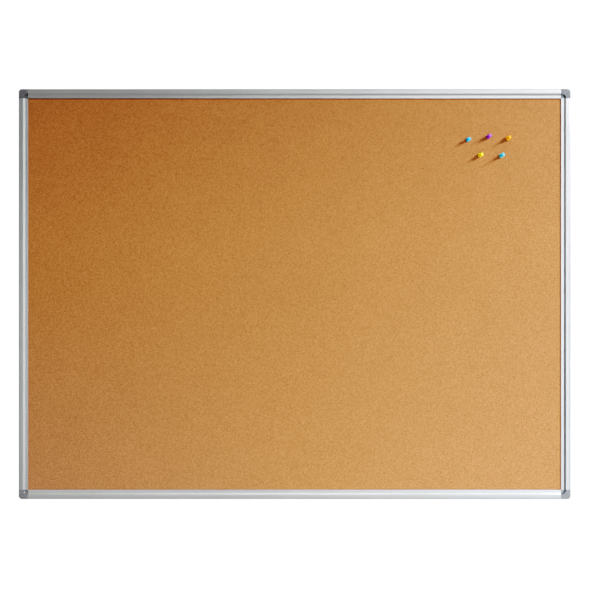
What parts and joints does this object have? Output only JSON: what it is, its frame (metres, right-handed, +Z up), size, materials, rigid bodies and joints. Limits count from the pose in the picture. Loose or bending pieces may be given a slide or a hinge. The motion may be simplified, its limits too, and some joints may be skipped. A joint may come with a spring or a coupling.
{
  "type": "cork bulletin board",
  "caption": "Wall-hung cork pinning surface in a slim satin aluminium frame with grey moulded push-fit corner caps and coloured push pins.",
  "frame": {"origin": "middle of the bottom rail's back face, on the wall plane, 8 mm above the board's bottom edge", "axes": "+X to the reader's right along the board's width, +Y out of the back into the wall, +Z up"},
  "size_m": [1.2, 0.0279, 0.892],
  "materials": {
    "rail_aluminium": "satin",
    "corner_cap_plastic": "matte",
    "corner_base_plastic": "matte",
    "screw_steel": "satin",
    "cork": "matte",
    "softboard": "matte",
    "backing_paper": "matte",
    "needle_steel": "polished",
    "pin_plastic_blue": "gloss",
    "pin_plastic_purple": "gloss",
    "pin_plastic_orange": "gloss",
    "pin_plastic_yellow": "gloss",
    "pin_plastic_cyan": "gloss"
  },
  "bodies": {
    "board": {"frame_rail_top": "rail_aluminium", "frame_rail_bottom": "rail_aluminium", "frame_rail_left": "rail_aluminium", "frame_rail_right": "rail_aluminium", "corner_base_top_left": "corner_base_plastic", "corner_base_top_right": "corner_base_plastic", "corner_base_bottom_left": "corner_base_plastic", "corner_base_bottom_right": "corner_base_plastic", "corner_screw_top_left_across": "screw_steel", "corner_screw_top_left_upright": "screw_steel", "corner_screw_top_right_across": "screw_steel", "corner_screw_top_right_upright": "screw_steel", "corner_screw_bottom_left_across": "screw_steel", "corner_screw_bottom_left_upright": "screw_steel", "corner_screw_bottom_right_across": "screw_steel", "corner_screw_bottom_right_upright": "screw_steel", "cork_sheet": "cork", "core_board": "softboard", "backing_sheet": "backing_paper"},
    "cap_top_left": {"corner_cap_top_left": "corner_cap_plastic"},
    "cap_top_right": {"corner_cap_top_right": "corner_cap_plastic"},
    "cap_bottom_left": {"corner_cap_bottom_left": "corner_cap_plastic"},
    "cap_bottom_right": {"corner_cap_bottom_right": "corner_cap_plastic"},
    "pin_blue": {"pin_blue_head": "pin_plastic_blue", "pin_blue_needle": "needle_steel"},
    "pin_purple": {"pin_purple_head": "pin_plastic_purple", "pin_purple_needle": "needle_steel"},
    "pin_orange": {"pin_orange_head": "pin_plastic_orange", "pin_orange_needle": "needle_steel"},
    "pin_yellow": {"pin_yellow_head": "pin_plastic_yellow", "pin_yellow_needle": "needle_steel"},
    "pin_cyan": {"pin_cyan_head": "pin_plastic_cyan", "pin_cyan_needle": "needle_steel"}
  },
  "joints": [
    {"name": "cap_top_left_pull", "type": "slide", "parent": "board", "child": "cap_top_left", "axis": [0, -1, 0], "range_m": [0, 0.012]},
    {"name": "cap_top_right_pull", "type": "slide", "parent": "board", "child": "cap_top_right", "axis": [0, -1, 0], "range_m": [0, 0.012]},
    {"name": "cap_bottom_left_pull", "type": "slide", "parent": "board", "child": "cap_bottom_left", "axis": [0, -1, 0], "range_m": [0, 0.012]},
    {"name": "cap_bottom_right_pull", "type": "slide", "parent": "board", "child": "cap_bottom_right", "axis": [0, -1, 0], "range_m": [0, 0.012]},
    {"name": "pin_blue_pull", "type": "slide", "parent": "board", "child": "pin_blue", "axis": [0.1511, -0.9877, 0.0405], "range_m": [0, 0.02]},
    {"name": "pin_purple_pull", "type": "slide", "parent": "board", "child": "pin_purple", "axis": [0.2971, -0.9336, 0.2004], "range_m": [0, 0.02]},
    {"name": "pin_orange_pull", "type": "slide", "parent": "board", "child": "pin_orange", "axis": [0.3338, -0.9272, 0.1701], "range_m": [0, 0.02]},
    {"name": "pin_yellow_pull", "type": "slide", "parent": "board", "child": "pin_yellow", "axis": [0.3716, -0.9205, 0.1207], "range_m": [0, 0.02]},
    {"name": "pin_cyan_pull", "type": "slide", "parent": "board", "child": "pin_cyan", "axis": [0.3591, -0.9135, 0.191], "range_m": [0, 0.02]}
  ]
}
